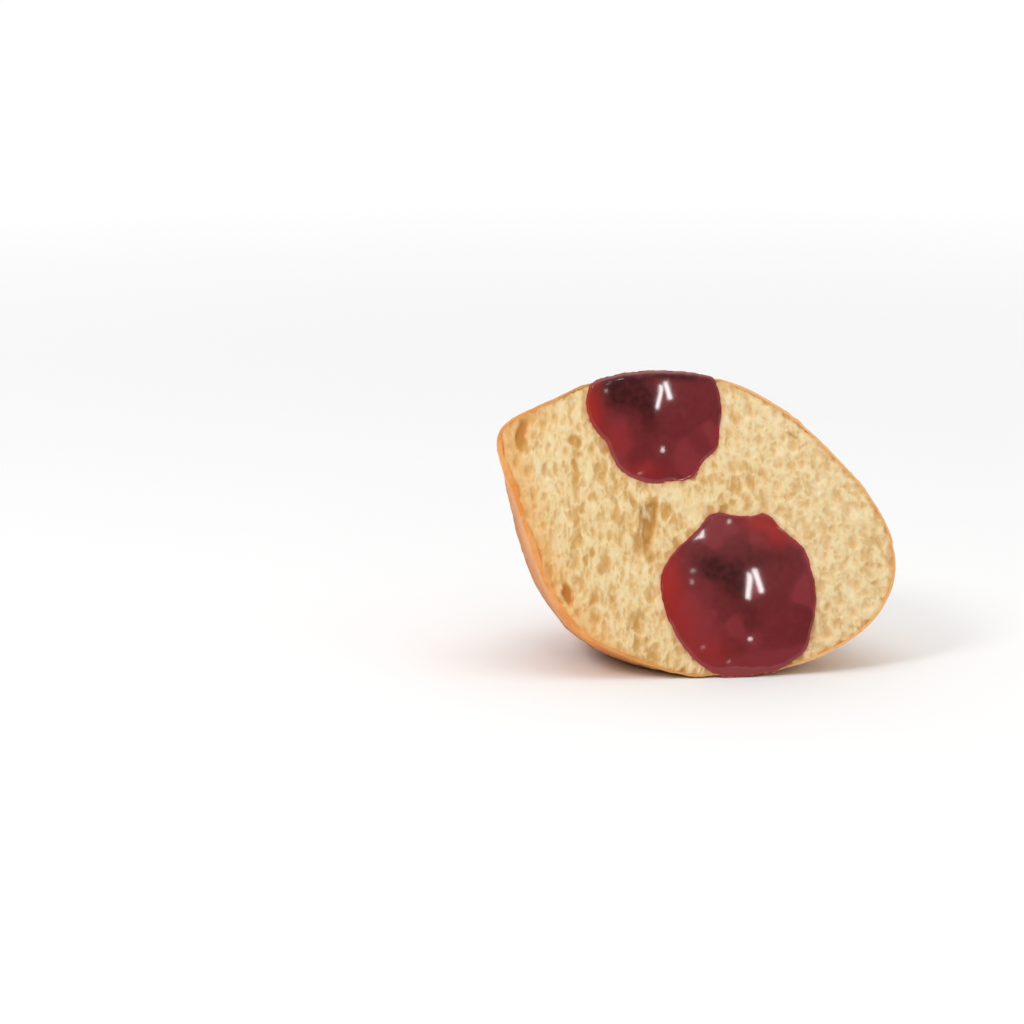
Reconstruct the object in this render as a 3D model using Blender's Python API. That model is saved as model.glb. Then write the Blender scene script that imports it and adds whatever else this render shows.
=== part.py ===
# Cut half of a jelly filled doughnut, with its two pockets of jelly.
#
# It stands on the edge of its round side, with the cut face towards -Y and leaning back.
# The model is made upright first: X to the right along the cut face, Y into the dough,
# Z up the cut face, and the middle of the cut face at the origin. A parent empty then leans
# it back and stands it on the table, which is Z = 0.
import math

import bmesh
import bpy
from mathutils import Vector

MM = 0.001

# The cut face: an oval, with swells given as (direction in degrees, rise, spread in degrees)
FACE_HALF_LENGTH = 32.2 * MM
FACE_HALF_WIDTH = 27.2 * MM
FACE_TURN = math.radians(-31)
CORNER_DIRECTION = 154
FACE_SWELLS = (
    (CORNER_DIRECTION, 4.5 * MM, 10.5),  # at the edge of the top crust
    (172, 6.8 * MM, 42.6),               # the side of the top crust
    (181, -5.1 * MM, 25.6),              # the flat run of crust under the corner
    (-16, 7.2 * MM, 29.4),               # the end at the bottom crust
    (222, 1.0 * MM, 11.6),               # heel of the top crust
)

# The round body behind it, turned about the crown's direction
DEPTH = 41 * MM                      # from the cut face to the back
CROWN_HEIGHT = 31 * MM               # from the middle to the top crust
BELT_RADIUS = 29 * MM
SQUARENESS = 2.5                     # 2 is an ellipsoid, more is boxier
BACK_SHARE = 1.2                     # lower takes the plain back nearer the cut
CROWN_DIRECTION = math.radians(194)  # in the cut face, where the top crust points
LEAN_BACK = math.radians(14)
FLAT_RISE = 0.25 * MM                # how far the table cuts above the face's lowest point

# Crease in the pale belt
CREASE_PLACE = 21 * MM               # from the middle towards the bottom crust
CREASE_DEPTH = 1.0 * MM
CREASE_SPREAD = 1.2 * MM
CREASE_WAVE = 1.2 * MM
CREASE_START = 4 * MM                # it fades out this near the cut

LUMP = 0.35 * MM                     # broad unevenness of the crust

# Crust standing proud round the cut crumb
RIM = 0.9 * MM
RECESS = 0.35 * MM

# Jelly: each pocket's middle on the cut face, its half sizes there, its depth and the
# lobes of its outline, given like the face's swells
JELLY = {
    "jelly_upper": {
        "middle": (-7.4 * MM, 21.5 * MM),
        "half_width": 12.8 * MM,
        "half_height": 13.5 * MM,
        "depth": 20 * MM,
        "lobes": ((213, -2.3 * MM, 22), (329, 0.9 * MM, 8), (298, 1.1 * MM, 11)),
    },
    "jelly_lower": {
        "middle": (8.4 * MM, -13.8 * MM),
        "half_width": 13.9 * MM,
        "half_height": 15.2 * MM,
        "depth": 24 * MM,
        "lobes": (
            (-42, 0.9 * MM, 11),
            (36, 0.5 * MM, 8),
            (72, 1.5 * MM, 7),
            (108, 1.7 * MM, 10),
            (163, 1.7 * MM, 28),
        ),
    },
}
JELLY_SWELL = 1.5 * MM   # how far the jelly stands out of the cut
JELLY_DRAW_IN = 0.3      # share of the way to the doughnut's middle at a pocket's back
GAP = 0.3 * MM           # between the jelly and its pocket
SKIN = 1.6 * MM          # dough left between the jelly and the outside, behind the cut
WINDOW = 1.0 * MM        # how far behind the cut the jelly still shows at the edge
WINDOW_END = 4.0 * MM    # where the skin over it has its whole thickness
FLUSH = 0.1 * MM         # how far the jelly lies under the crust's line in that window
CUTTER_REACH = 5 * MM    # how far a cutter runs out of the cut face

# Large bubbles open at the cut, in millimetres:
# (across, up, half width, half height, turn in degrees, half depth)
BUBBLES = (
    (-8.6, 1.8, 1.9, 3.6, -14, 3.4),
    (-10.3, -3.1, 1.7, 2.9, -14, 2.6),
    (-32.0, 17.2, 1.3, 3.2, -4, 2.0),
    (-24.3, -12.2, 1.2, 2.6, 14, 2.0),
    (-22.2, 15.8, 1.5, 1.3, 0, 1.6),
    (7.6, 6.6, 1.5, 1.2, 10, 1.6),
    (19.9, -0.9, 1.4, 1.5, 0, 1.5),
)

# Facets
LATITUDE_STEP = 5.0
FINE_STEP = 2.0
SWEEP_STEPS = 42
JELLY_SEGMENTS = 48
JELLY_RINGS_FRONT = 5
JELLY_RINGS_BACK = 9
BUBBLE_SUBDIVISIONS = 2
SHARP_ANGLE = math.radians(40)

CROWN = Vector((math.cos(CROWN_DIRECTION), 0, math.sin(CROWN_DIRECTION)))
BELT = Vector((math.sin(CROWN_DIRECTION), 0, -math.cos(CROWN_DIRECTION)))
INWARD = Vector((0, 1, 0))
DOWN = Vector((0, math.sin(LEAN_BACK), -math.cos(LEAN_BACK)))


def bump(angle, middle, spread):
    """1 at the middle direction, falling smoothly to 0 over the spread."""
    away = (angle - middle + math.pi) % math.tau - math.pi
    return math.exp(-((away / spread) ** 2))


def smooth_step(value, start, end):
    """0 up to start, 1 from end on, and smooth between."""
    share = min(max((value - start) / (end - start), 0), 1)
    return share * share * (3 - 2 * share)


def face_radius(angle):
    """Radius of the cut face's outline in one direction."""
    turned = angle - FACE_TURN
    across = FACE_HALF_WIDTH * math.cos(turned)
    along = FACE_HALF_LENGTH * math.sin(turned)
    radius = FACE_HALF_LENGTH * FACE_HALF_WIDTH / math.hypot(across, along)
    for middle, rise, spread in FACE_SWELLS:
        radius += rise * bump(angle, math.radians(middle), math.radians(spread))
    return radius


def standing_height():
    """Height of the face's middle over the table, which cuts the outline's lowest point."""
    turns = [math.tau * k / 720 for k in range(720)]
    lowest = min(face_radius(turn) * math.sin(turn) for turn in turns)
    return -lowest * math.cos(LEAN_BACK) - FLAT_RISE


FACE_HEIGHT = standing_height()


def stretch(latitude, sweep):
    """How much deeper the body reaches in one direction than a ball as deep as it is wide."""
    level = math.cos(latitude)
    along = math.sin(latitude) / CROWN_HEIGHT
    shallow = math.hypot(level / BELT_RADIUS, along)
    around = math.hypot(math.cos(sweep) / BELT_RADIUS, math.sin(sweep) / DEPTH)
    return shallow / math.hypot(level * around, along)


def back_radius(direction):
    """Radius of the plain flattened ball that the body takes after behind the cut."""
    around = math.hypot(direction.dot(BELT) / BELT_RADIUS, direction.y / DEPTH)
    along = abs(direction.dot(CROWN)) / CROWN_HEIGHT
    return (around**SQUARENESS + along**SQUARENESS) ** (-1 / SQUARENESS)


def body_radius(direction):
    """Radius of the outside in one direction: the outline's two sides, turned round the crown
    and blended with the plain back."""
    latitude = math.asin(min(max(direction.dot(CROWN), -1), 1))
    sweep = math.atan2(direction.y, direction.dot(BELT))
    off_crown = math.pi / 2 - latitude
    top_share = (1 + math.cos(sweep)) / 2
    turned = top_share * face_radius(CROWN_DIRECTION - off_crown)
    turned += (1 - top_share) * face_radius(CROWN_DIRECTION + off_crown)
    turned *= stretch(latitude, sweep)
    radius = turned + (back_radius(direction) - turned) * direction.y**BACK_SHARE
    lumps = math.sin(7 * direction.x + 1) * math.sin(6 * direction.z + 2)
    lumps += math.sin(8 * direction.y + 4 * direction.x)
    return radius + LUMP * lumps * direction.y


def crease_depth(point, direction):
    """How deep the belt's crease is at a point of the outside."""
    wave = math.sin(6 * direction.dot(BELT) + 2 * direction.y)
    place = point.dot(-CROWN) - CREASE_PLACE - CREASE_WAVE * wave
    fade = 1 - math.exp(-((point.y / CREASE_START) ** 2))
    return CREASE_DEPTH * fade * math.exp(-((place / CREASE_SPREAD) ** 2))


def outside_point(latitude, sweep):
    """A point of the crust: latitude up the crown axis, swept round from the belt's top."""
    level = math.cos(latitude)
    direction = CROWN * math.sin(latitude)
    direction += BELT * (level * math.cos(sweep)) + INWARD * (level * math.sin(sweep))
    point = direction * body_radius(direction)
    return point - direction * crease_depth(point, direction)


def latitudes():
    """Ring heights in degrees from crown to bottom, close together at the corner and the crease."""
    crease = -math.degrees(math.asin(CREASE_PLACE / CROWN_HEIGHT))
    corner = 90 - math.degrees(CROWN_DIRECTION) + CORNER_DIRECTION
    rings = []
    latitude = 90 - LATITUDE_STEP
    while latitude > -90 + LATITUDE_STEP / 2:
        rings.append(latitude)
        near = min(abs(latitude - crease), abs(latitude - corner)) < 1.4 * LATITUDE_STEP
        latitude -= FINE_STEP if near else LATITUDE_STEP
    return rings


def new_object(name, mesh):
    """An object in the scene, with the mesh as its data."""
    made = bpy.data.objects.new(name, mesh)
    bpy.context.scene.collection.objects.link(made)
    return made


def closed_mesh(name, bm):
    """A mesh from a bmesh, with its faces turned outwards."""
    bmesh.ops.recalc_face_normals(bm, faces=bm.faces)
    mesh = bpy.data.meshes.new(name)
    bm.to_mesh(mesh)
    bm.free()
    return mesh


def join_rings(bm, first, second):
    """Quads between two rows of as many vertices."""
    for k in range(len(first) - 1):
        bm.faces.new((first[k], first[k + 1], second[k + 1], second[k]))


def fan(bm, tip, row):
    """Triangles from one vertex to a row of them."""
    for near, far in zip(row, row[1:]):
        bm.faces.new((tip, near, far))


def dough_mesh():
    """The round side swept half way round, and the cut face set in from its rim."""
    bm = bmesh.new()
    crown = bm.verts.new(outside_point(math.pi / 2, 0))
    bottom = bm.verts.new(outside_point(-math.pi / 2, 0))
    rings = []
    for latitude in latitudes():
        ring = []
        for step in range(SWEEP_STEPS + 1):
            sweep = math.pi * step / SWEEP_STEPS
            ring.append(bm.verts.new(outside_point(math.radians(latitude), sweep)))
        rings.append(ring)
    fan(bm, crown, rings[0])
    fan(bm, bottom, rings[-1])
    for upper, lower in zip(rings, rings[1:]):
        join_rings(bm, upper, lower)
    outline = [crown] + [ring[0] for ring in rings] + [bottom]
    outline += [ring[-1] for ring in reversed(rings)]
    for vertex in outline:
        vertex.co.y = 0
    cut = bm.faces.new(outline)
    bmesh.ops.recalc_face_normals(bm, faces=bm.faces)
    bmesh.ops.inset_region(bm, faces=[cut], thickness=RIM, use_even_offset=True)
    bmesh.ops.translate(bm, verts=cut.verts, vec=(0, RECESS, 0))
    return closed_mesh("dough", bm)


def jelly_radius(spec, angle):
    """Radius of a pocket's outline in one direction."""
    across = math.cos(angle) / spec["half_width"]
    up = math.sin(angle) / spec["half_height"]
    radius = 1 / math.hypot(across, up)
    for middle, rise, spread in spec["lobes"]:
        radius += rise * bump(angle, math.radians(middle), math.radians(spread))
    return radius


def kept_inside(point, skin):
    """The point, drawn in until the skin is left between it and the crust or the table."""
    if point.y <= 0:
        flat = Vector((point.x, 0, point.z))
        most = face_radius(math.atan2(point.z, point.x)) - skin
        if flat.length > most:
            flat *= most / flat.length
        point = Vector((flat.x, point.y, flat.z))
    else:
        most = body_radius(point.normalized()) - skin
        if point.length > most:
            point = point * (most / point.length)
    too_low = point.dot(DOWN) - (FACE_HEIGHT - skin)
    return point - DOWN * max(too_low, 0)


def pocket_rings(spec, cutter):
    """(depth, scale, skin) of each ring of a jelly or its pocket's cutter, front to back."""
    if cutter:
        rings = [(-CUTTER_REACH, 1, -SKIN)]
    else:
        rings = []
        for k in range(1, JELLY_RINGS_FRONT):
            turn = math.pi / 2 * (1 - k / JELLY_RINGS_FRONT)
            rounding = JELLY_SWELL * (1 - math.cos(turn))
            rings.append((-JELLY_SWELL * math.sin(turn), math.cos(turn) ** 0.5, GAP + rounding))
    for k in range(JELLY_RINGS_BACK):
        turn = math.pi / 2 * k / JELLY_RINGS_BACK
        depth = spec["depth"] * math.sin(turn)
        behind = smooth_step(depth, WINDOW, WINDOW_END)
        skin = FLUSH + SKIN * behind
        if cutter:
            skin = (SKIN - GAP) * behind - SKIN * (1 - behind)
        rings.append((depth, math.cos(turn) ** 0.8, skin))
    return rings


def pocket_mesh(name, cutter=False):
    """A lobed plug of jelly that runs into the dough, or the cutter for its pocket."""
    spec = JELLY[name]
    grow = GAP if cutter else 0
    middle = Vector((spec["middle"][0], 0, spec["middle"][1]))
    bm = bmesh.new()
    rings = []
    for depth, scale, skin in pocket_rings(spec, cutter):
        centre = middle * (1 - JELLY_DRAW_IN * max(depth, 0) / spec["depth"])
        ring = []
        for k in range(JELLY_SEGMENTS):
            angle = math.tau * k / JELLY_SEGMENTS
            radius = jelly_radius(spec, angle) * scale + grow
            spoke = Vector((math.cos(angle), 0, math.sin(angle)))
            place = kept_inside(centre + spoke * radius + INWARD * depth, skin)
            ring.append(bm.verts.new(place))
        rings.append(ring)
    for near, far in zip(rings, rings[1:]):
        join_rings(bm, near + near[:1], far + far[:1])
    front = sum((vertex.co for vertex in rings[0]), Vector()) / JELLY_SEGMENTS
    front.y = -CUTTER_REACH if cutter else -JELLY_SWELL
    back = middle * (1 - JELLY_DRAW_IN) + INWARD * (spec["depth"] + grow)
    fan(bm, bm.verts.new(front), rings[0] + rings[0][:1])
    fan(bm, bm.verts.new(back), rings[-1] + rings[-1][:1])
    return closed_mesh(name, bm)


def bubble_mesh():
    """Egg shaped cutters, half in front of the crumb, for the large open bubbles."""
    bm = bmesh.new()
    for across, up, half_width, half_height, turn, half_depth in BUBBLES:
        made = bmesh.ops.create_icosphere(bm, subdivisions=BUBBLE_SUBDIVISIONS, radius=MM)
        cosine = math.cos(math.radians(turn))
        sine = math.sin(math.radians(turn))
        for vertex in made["verts"]:
            x = vertex.co.x * half_width
            z = vertex.co.z * half_height
            y = vertex.co.y * half_depth
            vertex.co = (x * cosine - z * sine + across * MM, y, x * sine + z * cosine + up * MM)
    return closed_mesh("bubbles", bm)


def table_mesh():
    """A block under the leaning doughnut, whose top is the table as the upright model sees it."""
    bm = bmesh.new()
    size = 4 * DEPTH
    for vertex in bmesh.ops.create_cube(bm, size=size)["verts"]:
        back = vertex.co.y
        below = size / 2 + FACE_HEIGHT - vertex.co.z
        vertex.co.y = back * math.cos(LEAN_BACK) + below * math.sin(LEAN_BACK)
        vertex.co.z = back * math.sin(LEAN_BACK) - below * math.cos(LEAN_BACK)
    return closed_mesh("table", bm)


def cut_with(target, cutter):
    """A Boolean cut by an object that the finished model leaves out."""
    cutter.hide_render = True
    cutter.display_type = "WIRE"
    cut = target.modifiers.new(f"cut_{cutter.name}", "BOOLEAN")
    cut.operation = "DIFFERENCE"
    cut.solver = "EXACT"
    cut.use_self = cutter.name == "bubbles"  # two of the bubbles run into each other
    cut.object = cutter


def finish(name, colour, roughness):
    """A plain Principled finish."""
    made = bpy.data.materials.new(name)
    made.use_nodes = True
    shader = made.node_tree.nodes["Principled BSDF"]
    shader.inputs["Base Color"].default_value = (*colour, 1)
    shader.inputs["Roughness"].default_value = roughness
    shader.inputs["Metallic"].default_value = 0
    return made


def centre_on_origin(stand, parts):
    """Moves the stand so that the middle of the model's box is over the origin."""
    bpy.context.view_layer.update()
    graph = bpy.context.evaluated_depsgraph_get()
    corners = []
    for part in parts:
        shown = part.evaluated_get(graph)
        corners += [shown.matrix_world @ vertex.co for vertex in shown.data.vertices]
    for axis in (0, 1):
        places = [corner[axis] for corner in corners]
        stand.location[axis] = -(min(places) + max(places)) / 2


def main():
    for old in list(bpy.data.objects):
        bpy.data.objects.remove(old, do_unlink=True)
    stand = new_object("stand", None)
    stand.rotation_euler.x = -LEAN_BACK
    stand.location.z = FACE_HEIGHT

    dough = new_object("dough", dough_mesh())
    dough.data.materials.append(finish("dough", (0.72, 0.42, 0.17), 0.6))
    jelly_finish = finish("jelly", (0.16, 0.016, 0.018), 0.12)
    parts = [dough]
    cutters = [new_object("table", table_mesh()), new_object("bubbles", bubble_mesh())]
    for name in JELLY:
        jelly = new_object(name, pocket_mesh(name))
        jelly.data.materials.append(jelly_finish)
        parts.append(jelly)
        cutters.append(new_object(f"{name}_pocket", pocket_mesh(name, cutter=True)))
    for cutter in cutters:
        cut_with(dough, cutter)
    for part in parts + cutters:
        part.parent = stand
        part.data.shade_smooth()
        part.data.set_sharp_from_angle(angle=SHARP_ANGLE)
    centre_on_origin(stand, parts)


main()
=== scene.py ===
import math

import bmesh
import bpy
from mathutils import Matrix, Vector


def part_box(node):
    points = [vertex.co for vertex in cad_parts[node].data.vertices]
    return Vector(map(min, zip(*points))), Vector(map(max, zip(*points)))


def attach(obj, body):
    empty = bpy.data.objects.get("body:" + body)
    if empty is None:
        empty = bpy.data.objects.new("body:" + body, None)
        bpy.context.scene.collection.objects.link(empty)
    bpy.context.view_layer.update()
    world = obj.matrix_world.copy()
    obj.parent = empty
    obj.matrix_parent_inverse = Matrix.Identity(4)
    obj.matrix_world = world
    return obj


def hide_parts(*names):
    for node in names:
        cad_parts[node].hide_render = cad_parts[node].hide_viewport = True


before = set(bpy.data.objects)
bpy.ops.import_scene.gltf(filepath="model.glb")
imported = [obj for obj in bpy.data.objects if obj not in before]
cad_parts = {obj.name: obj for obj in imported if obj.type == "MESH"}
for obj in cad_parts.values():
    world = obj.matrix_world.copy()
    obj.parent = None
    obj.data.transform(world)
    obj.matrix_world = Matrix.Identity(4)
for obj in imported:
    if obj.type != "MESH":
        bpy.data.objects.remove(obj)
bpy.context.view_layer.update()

mm = 0.001

# Where the cut face stands. Each piece is made upright, with X to the right along the cut,
# Y into the dough and Z up, and is then leant back on to its place.
cutFace = {
    "middle": (-0.401 * mm, -16.692 * mm, 27.579 * mm),
    "leanBack": math.radians(14),
    "crownTurn": math.radians(194),  # in the cut face, where the top crust points
}
leanBack = Matrix.Translation(cutFace["middle"]) @ Matrix.Rotation(-cutFace["leanBack"], 4, "X")
standUp = leanBack.inverted()
crownWay = Vector((math.cos(cutFace["crownTurn"]), 0, math.sin(cutFace["crownTurn"])))
beltWay = Vector((math.sin(cutFace["crownTurn"]), 0, -math.cos(cutFace["crownTurn"])))


# ---- working with objects


def only(piece):
    bpy.ops.object.select_all(action="DESELECT")
    piece.select_set(True)
    bpy.context.view_layer.objects.active = piece


def named(name):
    made = bpy.context.object
    made.name = name
    made.data.name = name
    return made


def modify(piece, kind, **settings):
    only(piece)
    modifier = piece.modifiers.new(kind.lower(), kind)
    for name, value in settings.items():
        setattr(modifier, name, value)
    bpy.ops.object.modifier_apply(modifier=modifier.name)


def place(piece, matrix):
    only(piece)
    piece.matrix_world = matrix @ piece.matrix_world
    bpy.ops.object.transform_apply(location=True, rotation=True, scale=True)


def duplicate(piece, name):
    only(piece)
    bpy.ops.object.duplicate()
    return named(name)


def discard(*pieces):
    for piece in pieces:
        bpy.data.objects.remove(piece)


def cadCopy(node):
    copied = bpy.data.objects.new(node + "Copy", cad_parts[node].data.copy())
    bpy.context.scene.collection.objects.link(copied)
    place(copied, standUp)
    bpy.ops.object.mode_set(mode="EDIT")
    bpy.ops.mesh.select_all(action="SELECT")
    bpy.ops.mesh.remove_doubles(threshold=0.001 * mm)
    bpy.ops.object.mode_set(mode="OBJECT")
    return copied


def finishPiece(piece, materials, slot, *nodes):
    only(piece)
    bpy.ops.object.shade_smooth_by_angle(angle=math.radians(50))
    place(piece, leanBack)
    for vertex in piece.data.vertices:
        vertex.co.z = max(vertex.co.z, 0)
    if materials:
        piece.data.materials.clear()
    for material in materials:
        piece.data.materials.append(material)
    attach(piece, "root")
    if nodes:
        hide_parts(*nodes)


# ---- node trees, for materials and for shapes


class Wire:
    # one socket; sums on it add their Math nodes
    def __init__(self, board, socket):
        self.board = board
        self.socket = socket

    def work(self, operation, *values):
        return self.board.add("ShaderNodeMath", {"operation": operation}, dict(enumerate(values)))

    def __add__(self, other):
        return self.work("ADD", self, other)

    def __sub__(self, other):
        return self.work("SUBTRACT", self, other)

    def __rsub__(self, other):
        return self.work("SUBTRACT", other, self)

    def __mul__(self, other):
        return self.work("MULTIPLY", self, other)

    def __truediv__(self, other):
        return self.work("DIVIDE", self, other)

    def __pow__(self, other):
        return self.work("POWER", self, other)

    def __abs__(self):
        return self.work("ABSOLUTE", self)

    def high(self, other):
        return self.work("MAXIMUM", self, other)

    def low(self, other):
        return self.work("MINIMUM", self, other)

    def sine(self):
        return self.work("SINE", self)

    def hump(self, width):  # 1 where the value is 0, falling away on both sides
        return self.work("EXPONENT", (self / width) ** 2 * -1)

    def ramp(self, start, end):  # 0 up to start, 1 from end on
        sockets = {"Value": self, "From Min": start, "From Max": end, "To Min": 0, "To Max": 1}
        return self.board.add("ShaderNodeMapRange", {"interpolation_type": "SMOOTHSTEP"}, sockets)

    __radd__ = __add__
    __rmul__ = __mul__


class Board:
    # a node tree, filled one node at a time
    def __init__(self, tree):
        self.tree = tree

    def add(self, kind, settings=None, sockets=None, out=0):
        node = self.tree.nodes.new(kind)
        for name, value in (settings or {}).items():
            if name == "stops":
                self.setStops(node.color_ramp, value)
            else:
                setattr(node, name, value)
        for name, value in (sockets or {}).items():
            self.feed(node.inputs[name], value)
        return Wire(self, node.outputs[out]) if node.outputs else None

    def beside(self, wire, out):  # another output of the node the wire comes from
        return Wire(self, wire.socket.node.outputs[out])

    def feed(self, socket, value):
        if isinstance(value, Wire):
            self.tree.links.new(value.socket, socket)
        elif socket.type == "RGBA" and len(value) == 3:
            socket.default_value = (*value, 1)
        else:
            socket.default_value = value

    def setStops(self, colorRamp, stops):
        while len(colorRamp.elements) < len(stops):
            colorRamp.elements.new(1)
        for element, (position, colour) in zip(colorRamp.elements, stops):
            element.position = position
            element.color = (*colour, 1)

    def noise(self, where, size, detail=2, roughness=0.5, out=0):
        sockets = {"Vector": where, "Scale": 1 / size, "Detail": detail, "Roughness": roughness}
        return self.add("ShaderNodeTexNoise", {"normalize": True}, sockets, out)

    def cells(self, where, size, feature="F1", out=0):
        settings = {"voronoi_dimensions": "2D", "feature": feature}
        return self.add("ShaderNodeTexVoronoi", settings, {"Vector": where, "Scale": 1 / size}, out)

    def attribute(self, name):
        return self.add("ShaderNodeAttribute", {"attribute_name": name}, {}, "Fac")

    def vector(self, operation, first, second, out=0):
        sockets = {0: first, 1: second}
        if operation == "SCALE":
            sockets = {0: first, "Scale": second}
        return self.add("ShaderNodeVectorMath", {"operation": operation}, sockets, out)

    def along(self, where, way):
        return self.vector("DOT_PRODUCT", where, tuple(way), "Value")

    def mix(self, amount, first, second, blend="MIX"):
        settings = {"data_type": "RGBA", "blend_type": blend}
        return self.add("ShaderNodeMix", settings, {0: amount, 6: first, 7: second}, 2)

    def blend(self, amount, first, second):
        return self.add("ShaderNodeMix", {"data_type": "FLOAT"}, {0: amount, 2: first, 3: second})

    def vectorOf(self, x, y, z):
        return self.add("ShaderNodeCombineXYZ", {}, {0: x, 1: y, 2: z})

    def part(self, where, axis):
        return self.add("ShaderNodeSeparateXYZ", {}, {0: where}, axis)


def reshape(piece, name, build):
    # builds a geometry tree on the piece and applies it
    tree = bpy.data.node_groups.new(name, "GeometryNodeTree")
    tree.interface.new_socket("Geometry", in_out="INPUT", socket_type="NodeSocketGeometry")
    tree.interface.new_socket("Geometry", in_out="OUTPUT", socket_type="NodeSocketGeometry")
    board = Board(tree)
    start = board.add("NodeGroupInput")
    end = build(board, start, board.add("GeometryNodeInputPosition"))
    board.add("NodeGroupOutput", {}, {0: end})
    modify(piece, "NODES", node_group=tree)
    bpy.data.node_groups.remove(tree)


def moved(board, shape, offset):
    return board.add("GeometryNodeSetPosition", {}, {"Geometry": shape, "Offset": offset})


def noted(board, shape, name, value):
    # keeps a value on the points, for the material
    settings = {"data_type": "FLOAT", "domain": "POINT"}
    sockets = {"Geometry": shape, "Name": name, "Value": value}
    return board.add("GeometryNodeStoreNamedAttribute", settings, sockets)


def distanceTo(board, guide, where):
    settings = {"transform_space": "RELATIVE"}
    shape = board.add("GeometryNodeObjectInfo", settings, {"Object": guide}, "Geometry")
    sockets = {0: shape, "Source Position": where}
    return board.add("GeometryNodeProximity", {"target_element": "FACES"}, sockets, "Distance")


def tint(code):
    # a colour as a painter reads it, made linear
    parts = [int(code[k:k + 2], 16) / 255 for k in (0, 2, 4)]
    return tuple(p / 12.92 if p < 0.04045 else ((p + 0.055) / 1.055) ** 2.4 for p in parts)


def newMaterial(name, **constants):
    material = bpy.data.materials.new(name)
    material.use_nodes = True
    board = Board(material.node_tree)
    shader = material.node_tree.nodes["Principled BSDF"]
    for socket, value in constants.items():
        board.feed(shader.inputs[socket.replace("_", " ")], value)
    mapping = {"Location": standUp.to_translation(), "Rotation": standUp.to_euler()}
    mapping["Vector"] = board.add("ShaderNodeTexCoord", {}, {}, "Object")
    return material, board, shader, board.add("ShaderNodeMapping", {}, mapping)


# ---- camera, light and floor

studio = {
    "lens": 100,
    "distance": 526.7 * mm,
    "azimuth": math.radians(-6),
    "height": math.radians(12),
    "aside": 34.07 * mm,  # the camera looks past the left of the cut
    "above": 2.41 * mm,
    "floorRadius": 6.0,
}


def addCamera():
    turn = studio["azimuth"]
    rise = studio["height"]
    back = Vector((math.sin(turn) * math.cos(rise), -math.cos(turn) * math.cos(rise), math.sin(rise)))
    right = Vector((math.cos(turn), math.sin(turn), 0))
    up = back.cross(right)
    aim = Vector(cutFace["middle"]) - right * studio["aside"] + up * studio["above"]
    bpy.ops.object.camera_add(location=aim + back * studio["distance"])
    camera = bpy.context.object
    camera.rotation_euler = back.to_track_quat("Z", "Y").to_euler()
    camera.data.lens = studio["lens"]
    camera.data.clip_start = 0.01
    bpy.context.scene.camera = camera


def addLamp(name, place, aim, size, watts):
    way = Vector(place) - Vector(aim)
    bpy.ops.object.light_add(type="AREA", location=place)
    lamp = bpy.context.object
    lamp.name = name
    lamp.rotation_euler = way.to_track_quat("Z", "Y").to_euler()
    lamp.data.shape = "RECTANGLE"
    lamp.data.size, lamp.data.size_y = size
    lamp.data.energy = watts


# small bright lamps that the wet jelly mirrors: one end, other end, width, brightness
smallLamps = {
    "leftStrip": ((0.359, -1.909, 0.570), (0.394, -1.843, 0.747), 0.033, 30),
    "rightStrip": ((0.463, -1.871, 0.623), (0.428, -1.826, 0.772), 0.033, 30),
    "hookStrip": ((0.050, -1.760, 1.007), (0.055, -1.708, 1.096), 0.026, 26),
    "hookFoot": ((-0.044, -1.763, 1.003), (0.050, -1.760, 1.007), 0.026, 22),
    "topSpot": ((0.252, -1.694, 1.090), (0.252, -1.676, 1.120), 0.024, 16),
    "lowSpot": ((0.386, -1.965, 0.262), (0.386, -1.963, 0.294), 0.034, 22),
    "leftSpot": ((-0.034, -1.893, 0.712), (-0.034, -1.891, 0.736), 0.024, 9),
    "secondLeftSpot": ((-0.024, -1.869, 0.775), (-0.024, -1.867, 0.799), 0.024, 9),
    "faintSpot": ((0.213, -2.011, 0.096), (0.213, -2.009, 0.120), 0.026, 6),
    "secondFaintSpot": ((0.027, -2.010, 0.228), (0.027, -2.008, 0.252), 0.026, 5),
}


def addStrip(name, low, high, width, brightness):
    low = Vector(low)
    high = Vector(high)
    back = ((low + high) / 2).normalized()
    long = (high - low).normalized()
    side = long.cross(back).normalized()
    size = (width, (high - low).length)
    addLamp(name, (low + high) / 2, (0, 0, 0), size, brightness * math.pi * width * size[1])
    lamp = bpy.context.object
    lamp.rotation_euler = Matrix((side, long, side.cross(long))).transposed().to_euler()


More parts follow.
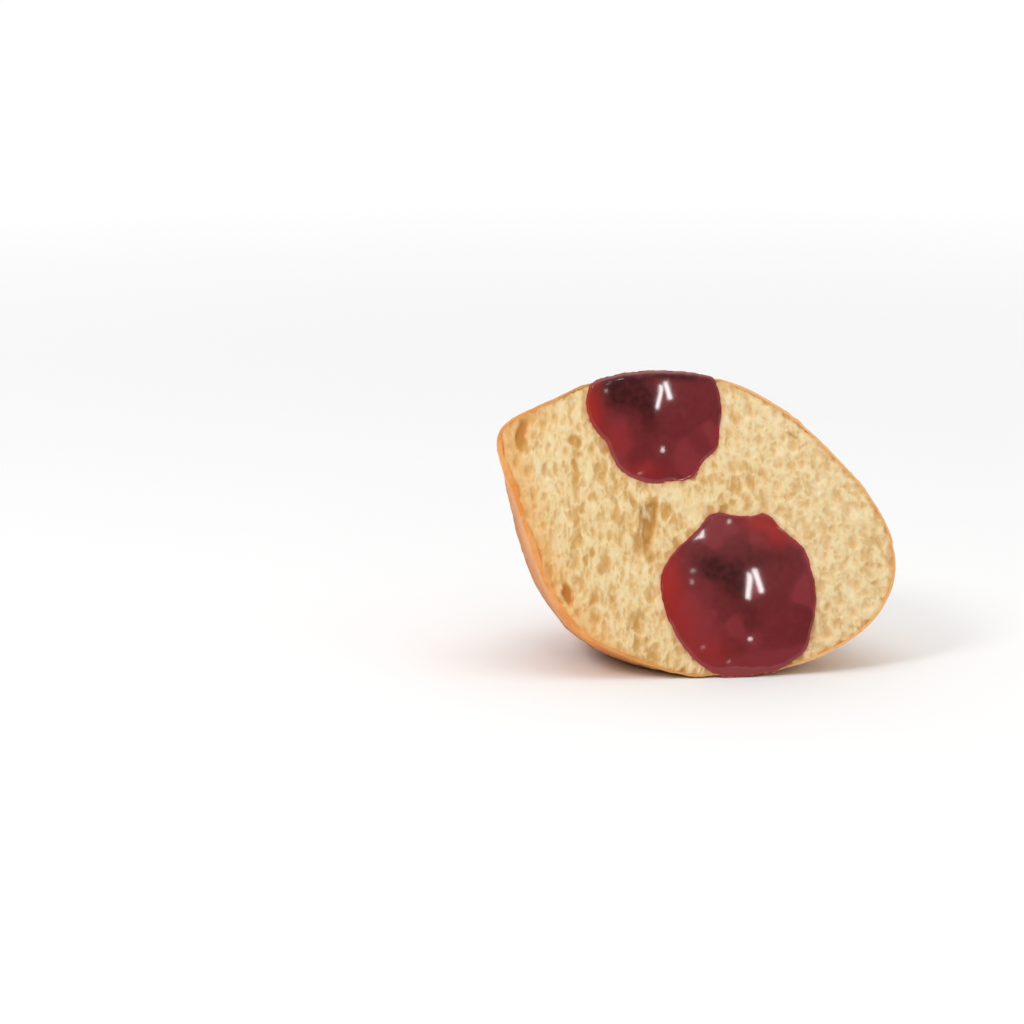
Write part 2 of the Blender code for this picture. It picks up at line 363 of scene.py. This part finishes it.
def addStudio():
    addCamera()
    addLamp("keyLamp", (-0.45, -0.35, 0.55), (0, 0, 0.02), (0.2, 0.2), 1.5)
    addLamp("fillLamp", (0.65, -0.35, 0.45), (0, 0, 0.02), (0.5, 0.5), 0.4)
    addLamp("topLamp", (0.0, -0.05, 0.7), (0, 0, 0.02), (0.5, 0.3), 0.6)
    for name, lamp in smallLamps.items():
        addStrip(name, *lamp)
    world = bpy.data.worlds.new("studioLight")
    world.use_nodes = True
    bpy.context.scene.world = world
    board = Board(world.node_tree)
    background = world.node_tree.nodes["Background"]
    board.feed(background.inputs["Color"], (1, 1, 1))
    way = board.add("ShaderNodeTexCoord", {}, {}, "Generated")
    up = board.part(way, 2).ramp(0.1, 0.95) * 0.75 + 0.12
    behind = board.part(way, 1).ramp(-0.3, 0.8) * 0.35
    seen = board.add("ShaderNodeLightPath", {}, {}, "Is Camera Ray")
    board.feed(background.inputs["Strength"], board.blend(seen, up + behind, 1.0))
    bpy.context.scene.view_settings.view_transform = "Standard"
    bpy.ops.mesh.primitive_circle_add(vertices=96, radius=studio["floorRadius"], fill_type="NGON")
    floor = named("floor")
    material, board, shader, where = newMaterial("paleFloor", Roughness=0.9, Specular_IOR_Level=0.1)
    mottle = board.noise(where, 0.4)
    board.feed(shader.inputs["Base Color"], board.mix(mottle, (0.94, 0.94, 0.94), (0.95, 0.95, 0.95)))
    board.feed(shader.inputs["Emission Strength"], 1.0)
    away = board.vector("LENGTH", where, (0, 0, 0), "Value").ramp(0.05, 1.2) * 0.3
    board.feed(shader.inputs["Emission Color"], board.vectorOf(away, away, away))
    floor.data.materials.append(material)


# ---- the doughnut's outside, which the crust and the crumb share

outside = {
    "ballRadius": 60 * mm,
    "crustFineness": 8,
    "crustSmoothing": 30,
    "insideFineness": 7,
    "insideSmoothing": 8,
    "thin": 0.6 * mm,       # the crust's thickness at the cut, along the sides
    "thick": 1.2 * mm,      # and over the top crust
    "deeper": 1.2 * mm,     # thicker than that away from the cut
    "insideShare": 0.4,     # of its triangles kept
    "topCrustWay": Vector((math.cos(math.radians(204)), 0, math.sin(math.radians(204)))),
}


def makeHull():
    # the whole form that a ball is drawn on to: the half and its mirror image
    parts = [cadCopy(node) for node in ("dough", "jelly_upper", "jelly_lower")]
    for part in parts[1:]:
        modify(part, "DISPLACE", strength=0.3 * mm, mid_level=0)
    bpy.ops.object.select_all(action="DESELECT")
    for part in parts:
        part.select_set(True)
    bpy.context.view_layer.objects.active = parts[0]
    bpy.ops.object.join()
    hull = named("hull")
    modify(hull, "MIRROR", use_axis=(False, True, False), merge_threshold=0.001 * mm)
    return hull


def makeBody(name, hull, subdivisions, smoothing):
    bpy.ops.object.select_all(action="DESELECT")
    bpy.ops.mesh.primitive_ico_sphere_add(subdivisions=subdivisions, radius=outside["ballRadius"])
    body = named(name)
    wrap = {"wrap_method": "PROJECT", "use_negative_direction": True, "use_positive_direction": False}
    modify(body, "SHRINKWRAP", target=hull, **wrap)
    modify(body, "SMOOTH", factor=0.5, iterations=smoothing)
    return body


def makeInside(hull, overlap):
    # the body drawn in by the crust's thickness, less an overlap
    inside = makeBody("inside", hull, outside["insideFineness"], outside["insideSmoothing"])

    def drawIn(board, start, where):
        normal = board.add("GeometryNodeInputNormal")
        top = board.along(normal, outside["topCrustWay"]).ramp(0.6, 0.97)
        wavy = board.noise(where, 4 * mm, 1).ramp(0.25, 0.75) * 0.75 + 0.45
        thickness = top * wavy * (outside["thick"] - outside["thin"]) + outside["thin"]
        thickness = board.part(where, 1).ramp(0.5 * mm, 3.5 * mm) * outside["deeper"] + thickness
        return moved(board, start, board.vector("SCALE", normal, (thickness - overlap) * -1))

    reshape(inside, "drawIn", drawIn)
    modify(inside, "DECIMATE", ratio=outside["insideShare"])
    return inside


def makeKnife(name, front, depth, spacing, build):
    # a block whose finely divided front face carries the look of a cut; it runs back from there
    low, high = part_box("dough")
    across = (high[0] - low[0]) * 1.1
    up = (high[2] - low[2]) * 1.25
    bpy.ops.object.select_all(action="DESELECT")
    bpy.ops.mesh.primitive_grid_add(
        x_subdivisions=round(across / spacing),
        y_subdivisions=round(up / spacing),
        size=1,
        location=(0, front, 0),
        rotation=(math.pi / 2, 0, 0),
    )
    knife = named(name)
    knife.scale = (across, up, 1)
    bpy.ops.object.transform_apply(location=True, rotation=True, scale=True)
    bpy.ops.object.mode_set(mode="EDIT")
    bpy.ops.mesh.select_mode(type="EDGE")
    bpy.ops.mesh.select_all(action="DESELECT")
    bpy.ops.mesh.select_non_manifold()
    bpy.ops.mesh.extrude_edges_move(TRANSFORM_OT_translate={"value": (0, depth, 0)})
    bpy.ops.mesh.edge_face_add()
    bpy.ops.mesh.select_all(action="SELECT")
    bpy.ops.mesh.normals_make_consistent(inside=False)
    bpy.ops.mesh.select_mode(type="VERT")
    bpy.ops.object.mode_set(mode="OBJECT")
    reshape(knife, name, build)
    return knife


def carve(piece, knife, operation):
    modify(piece, "BOOLEAN", operation=operation, object=knife, solver="MANIFOLD")
    piece.data.validate()


# ---- crust

crustLook = {
    "lumps": (9 * mm, 0.5 * mm),       # size and height
    "sunk": 0.24 * mm,                 # the lumps' level below the smooth form
    "wrinkles": (1.5 * mm, 0.17 * mm),
    "blisters": (2.6 * mm, 0.16 * mm),
    "domeEdge": (-15 * mm, -7 * mm),   # where the brown dome fades into the pale belt
    "bottomEdge": (-29 * mm, -34 * mm),
    "creasePlace": 21 * mm,
    "creaseWave": 1.2 * mm,
    "creaseWidth": 0.45 * mm,
    "creaseDepth": 0.5 * mm,
}


def crownHeight(board, where):
    return board.along(where, crownWay)


def creaseAt(board, where):
    # 1 in the crease that runs round the pale belt
    way = board.vector("NORMALIZE", where, (0, 0, 0))
    wave = (board.along(way, beltWay * 6) + board.part(way, 1) * 2).sine()
    ragged = board.noise(where, 3 * mm) - 0.5
    off = crownHeight(board, where) + crustLook["creasePlace"] + wave * crustLook["creaseWave"]
    inside = board.part(where, 1).ramp(0, 6 * mm)
    return (off + ragged * 0.8 * mm).hump(crustLook["creaseWidth"]) * inside


def domeAt(board, where):
    edge = crownHeight(board, where) + (board.noise(where, 7 * mm, 3) - 0.5) * 9 * mm
    return edge.ramp(*crustLook["domeEdge"])


def wrinkleAt(board, where):
    # long soft ridges that lean across the dome
    slant = (beltWay * 0.8 - crownWay * 0.4 + Vector((0, 0.4, 0))).normalized()
    along = board.along(where, slant)
    squeezed = board.vector("SUBTRACT", where, board.vector("SCALE", tuple(slant), along * 0.86))
    size = crustLook["wrinkles"][0]
    ridge = 1 - abs(board.noise(squeezed, size, 1) * 2 - 1)
    patches = board.noise(where, 7 * mm, 2).ramp(0.4, 0.65)
    return ridge ** 4 * patches


def blisterAt(board, where):
    # small round blisters, few and of all sizes
    settings = {"voronoi_dimensions": "3D", "feature": "F1"}
    away = board.add("ShaderNodeTexVoronoi", settings, {"Vector": where, "Scale": 1 / crustLook["blisters"][0]})
    chance = board.part(board.beside(away, 1), 0)
    return (1 - (away / (chance * 0.45 + 0.02)) ** 2).high(0) * chance.ramp(0.45, 0.9)


def crustShape(board, start, where):
    normal = board.add("GeometryNodeInputNormal")
    size, height = crustLook["lumps"]
    rise = (board.noise(where, size, 2) - 0.5) * height - crustLook["sunk"]
    rise = rise + wrinkleAt(board, where) * crustLook["wrinkles"][1]
    rise = rise + blisterAt(board, where) * crustLook["blisters"][1]
    rise = rise - creaseAt(board, where) * crustLook["creaseDepth"]
    return moved(board, start, board.vector("SCALE", normal, rise))


def crustCut(board, start, where):
    rough = board.noise(where, 1.2 * mm, 3) - 0.5
    front = board.add("FunctionNodeCompare", {"operation": "GREATER_THAN"}, {0: board.part(where, 1), 1: -1 * mm})
    shift = board.vectorOf(0, rough * 0.35 * mm, 0)
    return board.add("GeometryNodeSetPosition", {}, {"Geometry": start, "Selection": front, "Offset": shift})


def makeCrust(hull):
    crust = makeBody("crust", hull, outside["crustFineness"], outside["crustSmoothing"])
    reshape(crust, "crustShape", crustShape)
    fillings = [cadCopy(node) for node in ("jelly_upper", "jelly_lower")]

    def besideJelly(board, start, where):
        # the crust lies lower where the jelly comes through it
        away = distanceTo(board, fillings[0], where).low(distanceTo(board, fillings[1], where))
        drop = away.ramp(0.9 * mm, 0.2 * mm) * -0.12 * mm
        return moved(board, start, board.vector("SCALE", board.add("GeometryNodeInputNormal"), drop))

    reshape(crust, "besideJelly", besideJelly)
    discard(*fillings)
    inside = makeInside(hull, 0)
    knife = makeKnife("crustKnife", 0, -60 * mm, 0.5 * mm, crustCut)
    carve(crust, knife, "DIFFERENCE")
    carve(crust, inside, "DIFFERENCE")
    discard(knife, inside)
    return crust


def crustMaterial():
    material, board, shader, where = newMaterial("brownCrust", Specular_IOR_Level=0.35)
    dome = domeAt(board, where)
    mottle = board.noise(where, 5 * mm, 4, 0.6)
    brown = board.add(
        "ShaderNodeValToRGB",
        {"stops": ((0.28, tint("a65626")), (0.5, tint("c47335")), (0.72, tint("dd914a")))},
        {0: mottle},
    )
    wrinkle = wrinkleAt(board, where)
    blister = blisterAt(board, where)
    brown = board.mix(wrinkle * 0.4, brown, tint("f0b26c"))
    brown = board.mix(blister * 0.35, brown, tint("8e4a22"))
    # painted light: the crust is painted lighter near the cut, and orange on the top crust
    paintedLitBand = (board.part(where, 1) + (mottle - 0.5) * 12 * mm).ramp(16 * mm, 1 * mm)
    orange = board.mix(mottle.ramp(0.35, 0.65), tint("f39b45"), tint("fcb268"))
    edge = board.mix(crownHeight(board, where).ramp(14 * mm, 26 * mm), tint("dfa25e"), orange)
    brown = board.mix(paintedLitBand * 0.88, brown, edge)
    pale = board.mix(board.noise(where, 6 * mm, 3).ramp(0.3, 0.7), tint("daa262"), tint("ecc086"))
    # painted shade: the crease round the belt is painted darker
    pale = board.mix(creaseAt(board, where) * 0.7, pale, tint("b07f3e"))
    bottom = (crownHeight(board, where) + (mottle - 0.5) * 5 * mm).ramp(*crustLook["bottomEdge"])
    pale = board.mix(bottom * 0.8, pale, tint("c58144"))
    rim = board.part(where, 1).ramp(1.2 * mm, 0.3 * mm)
    pale = board.mix(rim * 0.75, pale, tint("fbc182"))
    colour = board.mix(dome, pale, brown)
    speckle = board.noise(where, 0.7 * mm, 3, 0.65)
    colour = board.mix(speckle.ramp(0.55, 0.75) * 0.22, colour, tint("8f4a1c"))
    colour = board.mix(speckle.ramp(0.45, 0.3) * 0.2, colour, tint("fbd39a"))
    board.feed(shader.inputs["Base Color"], colour)
    board.feed(shader.inputs["Roughness"], 0.62 - dome * 0.16 + speckle * 0.1)
    fine = board.noise(where, 0.45 * mm, 3, 0.6) + board.noise(where, 1.6 * mm, 2) * 0.8
    bump = board.add("ShaderNodeBump", {}, {"Strength": 0.5, "Distance": 0.12 * mm, "Height": fine}, "Normal")
    board.feed(shader.inputs["Normal"], bump)
    return material


# ---- crumb

crumbLook = {
    "setBack": 0.3 * mm,
    "spacing": 0.26 * mm,
    "pores": (                 # size of the cells, share of it that a pore fills, depth, shift
        (2.7 * mm, 0.50, 1.0, 0),
        (1.5 * mm, 0.50, 0.65, 31),
        (0.8 * mm, 0.46, 0.4, 77),
    ),
    "depth": 0.9 * mm,
    "overlap": 0.15 * mm,      # how far it reaches into the crust
    "bubbles": (               # across, up, half width, half height, turn, depth; in mm and degrees
        (-8.6, 1.6, 1.9, 3.6, -14, 1.0),
        (-9.4, -1.0, 1.8, 3.4, -14, 0.9),
        (-10.3, -3.4, 1.6, 2.6, -14, 0.75),
        (-32.0, 17.2, 1.2, 3.2, -4, 1.0),
        (-24.3, -12.2, 1.1, 2.6, 14, 1.2),
        (-22.2, 15.8, 1.5, 1.3, 0, 0.6),
        (7.6, 6.6, 1.4, 1.1, 10, 0.5),
        (19.9, -0.9, 1.3, 1.4, 0, 0.5),
    ),
}


def crumbPlace(board, where):
    # the place on the cut, warped, with its pores drawn out up and down towards the top crust
    across = board.part(where, 0)
    up = board.part(where, 2)
    drawn = across.ramp(-10 * mm, 14 * mm) * 0.35 + 0.55
    flat = board.vectorOf(across, up * drawn, 0)
    coarse = board.vector("SUBTRACT", board.noise(flat, 2.0 * mm, 2, out=1), (0.5, 0.5, 0.5))
    fine = board.vector("SUBTRACT", board.noise(flat, 0.6 * mm, 1, out=1), (0.5, 0.5, 0.5))
    warp = board.vector("ADD", board.vector("SCALE", coarse, 1.6 * mm), board.vector("SCALE", fine, 0.35 * mm))
    return board.vector("ADD", flat, warp)


def poresAt(board, where):
    # how deep the crumb's pores go, 0 on their walls to about 1
    flat = crumbPlace(board, where)
    deepest = 0
    for size, share, depth, shift in crumbLook["pores"]:
        away = board.cells(board.vector("ADD", flat, (shift * mm, shift * mm, 0)), size)
        chance = board.part(board.beside(away, 1), 0)
        reach = chance * chance * share * 0.7 + share * 0.45
        hollow = (1 - (away / reach) ** 2).high(0)
        deepest = (hollow * (chance * 0.8 + 0.2) * depth).high(deepest)
    fine = board.noise(flat, 0.5 * mm, 2) * 0.35 + board.noise(flat, 1.4 * mm, 2) * 0.55
    return deepest * 0.75 + (fine - 0.45)


def bubblesAt(board, where):
    # the largest bubbles, each a smooth hollow with an uneven edge
    warp = board.vector("SUBTRACT", board.noise(where, 2.6 * mm, 2, out=1), (0.5, 0.5, 0.5))
    where = board.vector("ADD", where, board.vector("SCALE", warp, 2.2 * mm))
    total = 0
    for across, up, width, height, turn, depth in crumbLook["bubbles"]:
        cosine = math.cos(math.radians(turn))
        sine = math.sin(math.radians(turn))
        x = board.part(where, 0) - across * mm
        z = board.part(where, 2) - up * mm
        along = (x * cosine + z * sine) / (width * mm)
        over = (z * cosine - x * sine) / (height * mm)
        hollow = 1 - (along * along + over * over)
        total = (hollow.ramp(-0.4, 0.7) * depth).high(total)
    return total


def hollowsAt(board, where):
    # pores and bubbles together; within a bubble the pores fade
    bubbles = bubblesAt(board, where)
    return poresAt(board, where) * (1 - bubbles.low(1) * 0.8) + bubbles


def crumbShape(board, start, where):
    front = board.add(
        "FunctionNodeCompare", {"operation": "LESS_THAN"},
        {0: board.part(where, 1), 1: crumbLook["setBack"] + 0.1 * mm},
    )
    shift = board.vectorOf(0, hollowsAt(board, where) * crumbLook["depth"] - 0.2 * mm, 0)
    return board.add("GeometryNodeSetPosition", {}, {"Geometry": start, "Selection": front, "Offset": shift})


def makeCrumb(hull):
    crumb = makeKnife("crumb", crumbLook["setBack"], 55 * mm, crumbLook["spacing"], crumbShape)
    inside = makeInside(hull, crumbLook["overlap"])
    carve(crumb, inside, "INTERSECT")
    discard(inside)
    return crumb


def crumbMaterial():
    soft = {"Subsurface_Weight": 0.3, "Subsurface_Radius": (1.0, 0.6, 0.3), "Subsurface_Scale": 0.8 * mm}
    material, board, shader, where = newMaterial("softCrumb", Roughness=0.8, Specular_IOR_Level=0.3, **soft)
    hollow = hollowsAt(board, where)
    across = board.part(where, 0)
    # painted shade: the crumb is painted darker and browner the deeper its pores and bubbles go, a little less so
    # towards the right
    depth = hollow * (1 - across.ramp(-12 * mm, 16 * mm) * 0.3)
    colour = board.add(
        "ShaderNodeValToRGB",
        {"stops": ((0.0, tint("f9e0ab")), (0.25, tint("f0ca8e")), (0.6, tint("dba960")), (0.9, tint("be8841")))},
        {0: depth / 1.2 + 0.05},
    )
    drawn = board.vector("MULTIPLY", where, (1, 1, 0.5))
    tone = board.noise(drawn, 1.5 * mm, 2) * 0.65 + board.noise(drawn, 6 * mm, 2) * 0.35
    colour = board.mix(tone.ramp(0.5, 0.68) * 0.75, colour, tint("d2a25a"))
    colour = board.mix(tone.ramp(0.5, 0.32) * 0.7, colour, tint("ffedc4"))
    # painted light: the crumb is painted lighter towards the right
    colour = board.mix(across.ramp(-5 * mm, 30 * mm) * 0.22, colour, tint("ffe9bf"))
    stain = board.attribute("besideJelly").ramp(1.2 * mm, 0.1 * mm)
    colour = board.mix(stain * 0.35, colour, tint("e09a70"))
    skin = board.attribute("besideCrust")
    colour = board.mix(skin.ramp(1.0 * mm, 0.1 * mm) * 0.5, colour, tint("f0b56c"))
    # warmer towards the top crust
    warm = skin.ramp(5.5 * mm, 1 * mm) * crownHeight(board, where).ramp(17 * mm, 25 * mm)
    colour = board.mix(warm * 0.55, colour, tint("f4b970"))
    # painted shade: near the top crust the deeper hollows are painted a darker orange-brown
    colour = board.mix(warm * (hollow - 0.4).high(0).low(1) * 0.9, colour, tint("c97a2c"))
    board.feed(shader.inputs["Base Color"], colour)
    return material


# ---- jelly

jellyLook = {
    "fineness": 0.3 * mm,
    "smoothing": 6,
    "height": 1.2 * mm,
    "roundness": 0.009 / mm,      # the bulge's turn for each step across it
    "lip": 0.55 * mm,
    "ragged": (2.4 * mm, 0.7 * mm),
    "sunk": 0.12 * mm,            # how far it reaches into the crumb
    "summits": {"jelly_upper": (-8.4 * mm, 24.0 * mm), "jelly_lower": (9.4 * mm, -16.3 * mm)},
}


def makeJelly(name, node):
    jelly = cadCopy(node)
    only(jelly)
    jelly = named(name)
    modify(jelly, "REMESH", mode="VOXEL", voxel_size=jellyLook["fineness"])
    modify(jelly, "SMOOTH", factor=0.5, iterations=jellyLook["smoothing"])

    def ragged(board, start, where):
        size, amount = jellyLook["ragged"]
        flat = board.vectorOf(board.part(where, 0), 0, board.part(where, 2))
        shift = board.vector("SUBTRACT", board.noise(flat, size, 2, out=1), (0.5, 0.5, 0.5))
        shape = moved(board, start, board.vector("MULTIPLY", shift, (amount, 0, amount)))
        # further in it keeps below the crust
        deep = board.part(where, 1).ramp(0.4 * mm, 1.6 * mm) * -1.2 * mm
        return moved(board, shape, board.vector("SCALE", board.add("GeometryNodeInputNormal"), deep))

    reshape(jelly, "ragged", ragged)
    plug = duplicate(jelly, "plug")
    modify(plug, "DISPLACE", strength=-jellyLook["sunk"], mid_level=0)

    def bringForward(board, start, where):
        front = board.add("FunctionNodeCompare", {"operation": "LESS_THAN"}, {0: board.part(where, 1), 1: 0.4 * mm})
        return board.add("GeometryNodeSetPosition", {}, {"Geometry": start, "Selection": front, "Offset": (0, -3 * mm, 0)})

    reshape(plug, "bringForward", bringForward)
    wall = duplicate(jelly, "wall")
    bpy.ops.object.mode_set(mode="EDIT")
    bpy.ops.mesh.select_mode(type="FACE")
    bpy.ops.mesh.select_all(action="DESELECT")
    bpy.ops.object.mode_set(mode="OBJECT")
    for face in wall.data.polygons:
        face.select = face.center.y < 0.25 * mm and face.normal.y < -0.5
    bpy.ops.object.mode_set(mode="EDIT")
    bpy.ops.mesh.delete(type="FACE")
    bpy.ops.object.mode_set(mode="OBJECT")
    across, up = jellyLook["summits"][node]

    def bulge(board, start, where):
        x = board.part(where, 0)
        z = board.part(where, 2)
        edge = distanceTo(board, wall, board.vectorOf(x, 0.2 * mm, z)).ramp(0, jellyLook["lip"])
        offX = x - across
        offZ = z - up
        height = (offX * offX + offZ * offZ) * (jellyLook["roundness"] / -2) + jellyLook["height"]
        lumps = (board.noise(where, 8 * mm, 1) - 0.5) * 0.05 * mm
        level = (height + lumps) * edge * -1
        front = board.add("FunctionNodeCompare", {"operation": "LESS_THAN"}, {0: board.part(where, 1), 1: 0.2 * mm})
        shape = noted(board, start, "fromEdge", edge)
        place = board.vectorOf(x, level, z)
        return board.add("GeometryNodeSetPosition", {}, {"Geometry": shape, "Selection": front, "Position": place})

    reshape(jelly, "bulge", bulge)
    discard(wall)
    return jelly, plug


# where the jelly is painted redder, painted light shining through its thin parts, and where it is darker: across,
# up, half width, half height (mm), strength
paintedGlowPlaces = (
    (-5.6, -10.5, 2.2, 6.0, 1.0),
    (-2.5, -18.0, 2.4, 4.0, 0.5),
    (11.5, 0.4, 2.6, 1.6, 0.8),
    (15.2, -2.0, 2.2, 2.4, 0.9),
    (2.0, -23.5, 3.5, 2.6, 0.5),
    (9.0, -28.5, 5.0, 1.4, 0.6),
    (-19.0, 22.0, 1.8, 4.6, 1.0),
    (-15.0, 16.0, 2.4, 2.4, 0.5),
    (-9.5, 10.0, 4.0, 1.6, 0.5),
)
darkPlaces = (
    (1.8, -7.6, 2.2, 1.8, 0.8),
    (5.0, -9.2, 3.0, 2.4, 1.0),
    (7.5, -11.5, 1.8, 2.4, 0.7),
    (12.5, -6.0, 3.8, 2.0, 0.7),
    (9.0, -16.5, 1.8, 3.0, 0.35),
    (-14.2, 25.4, 2.8, 2.0, 1.0),
    (-11.0, 24.2, 3.4, 2.8, 1.1),
    (-8.4, 20.6, 1.6, 3.0, 0.6),
    (-2.0, 27.6, 8.0, 0.7, 0.8),
)


def patchesAt(board, where, places):
    total = 0
    for across, up, width, height, strength in places:
        x = (board.part(where, 0) - across * mm) / (width * mm)
        z = (board.part(where, 2) - up * mm) / (height * mm)
        total = ((x * x + z * z) ** 0.5).hump(1.2) * strength + total
    return total


def jellyMaterial():
    material, board, shader, where = newMaterial("redJelly", Roughness=0.05, Specular_IOR_Level=0.42)
    warp = board.vector("SUBTRACT", board.noise(where, 3 * mm, 2, out=1), (0.5, 0.5, 0.5))
    bent = board.vector("ADD", where, board.vector("SCALE", warp, 1.5 * mm))
    flat = board.vectorOf(board.part(bent, 0), board.part(bent, 2), 0)
    facets = board.part(board.cells(flat, 4.0 * mm, "SMOOTH_F1", 1), 0)
    colour = board.mix(facets.ramp(0.25, 0.75), tint("702629"), tint("893237"))
    # painted light: redder where light shines through thin jelly
    colour = board.mix(patchesAt(board, bent, paintedGlowPlaces).low(1), colour, tint("a62a24"))
    colour = board.mix(patchesAt(board, bent, darkPlaces).low(0.95), colour, tint("3a0d0d"))
    # painted light: the jelly is painted a brighter red along its edges, where it is thin
    colour = board.mix(board.attribute("fromEdge").ramp(1, 0.2) * 0.55, colour, tint("b53a30"))
    grain = board.noise(where, 1.2 * mm, 2).ramp(0.3, 0.7)
    colour = board.mix(grain * 0.12, colour, tint("a03d40"))
    board.feed(shader.inputs["Base Color"], colour)
    return material


# ---- the whole doughnut

addStudio()
print("studio ready")
hull = makeHull()
crust = makeCrust(hull)
print("crust ready")
crumb = makeCrumb(hull)
discard(hull)
print("crumb ready")
jellies = {}
for name, node in (("upperJelly", "jelly_upper"), ("lowerJelly", "jelly_lower")):
    jellies[node], plug = makeJelly(name, node)
    carve(crust, plug, "DIFFERENCE")
    carve(crumb, plug, "DIFFERENCE")
    discard(plug)
print("jelly ready")


def noteNeighbours(board, start, where):
    # the crumb is stained where it meets the jelly and darker where it meets the crust
    upper = distanceTo(board, jellies["jelly_upper"], where)
    lower = distanceTo(board, jellies["jelly_lower"], where)
    shape = noted(board, start, "besideJelly", upper.low(lower))
    return noted(board, shape, "besideCrust", distanceTo(board, crust, where))


reshape(crumb, "noteNeighbours", noteNeighbours)
brownCrust = crustMaterial()
finishPiece(crust, [brownCrust], "dough", "dough")
finishPiece(crumb, [crumbMaterial()], "dough")
redJelly = jellyMaterial()
for node, jelly in jellies.items():
    finishPiece(jelly, [redJelly], "jelly", node)
for piece in [crust, crumb] + list(jellies.values()):
    print(piece.name, sum(len(face.vertices) - 2 for face in piece.data.polygons), "triangles")
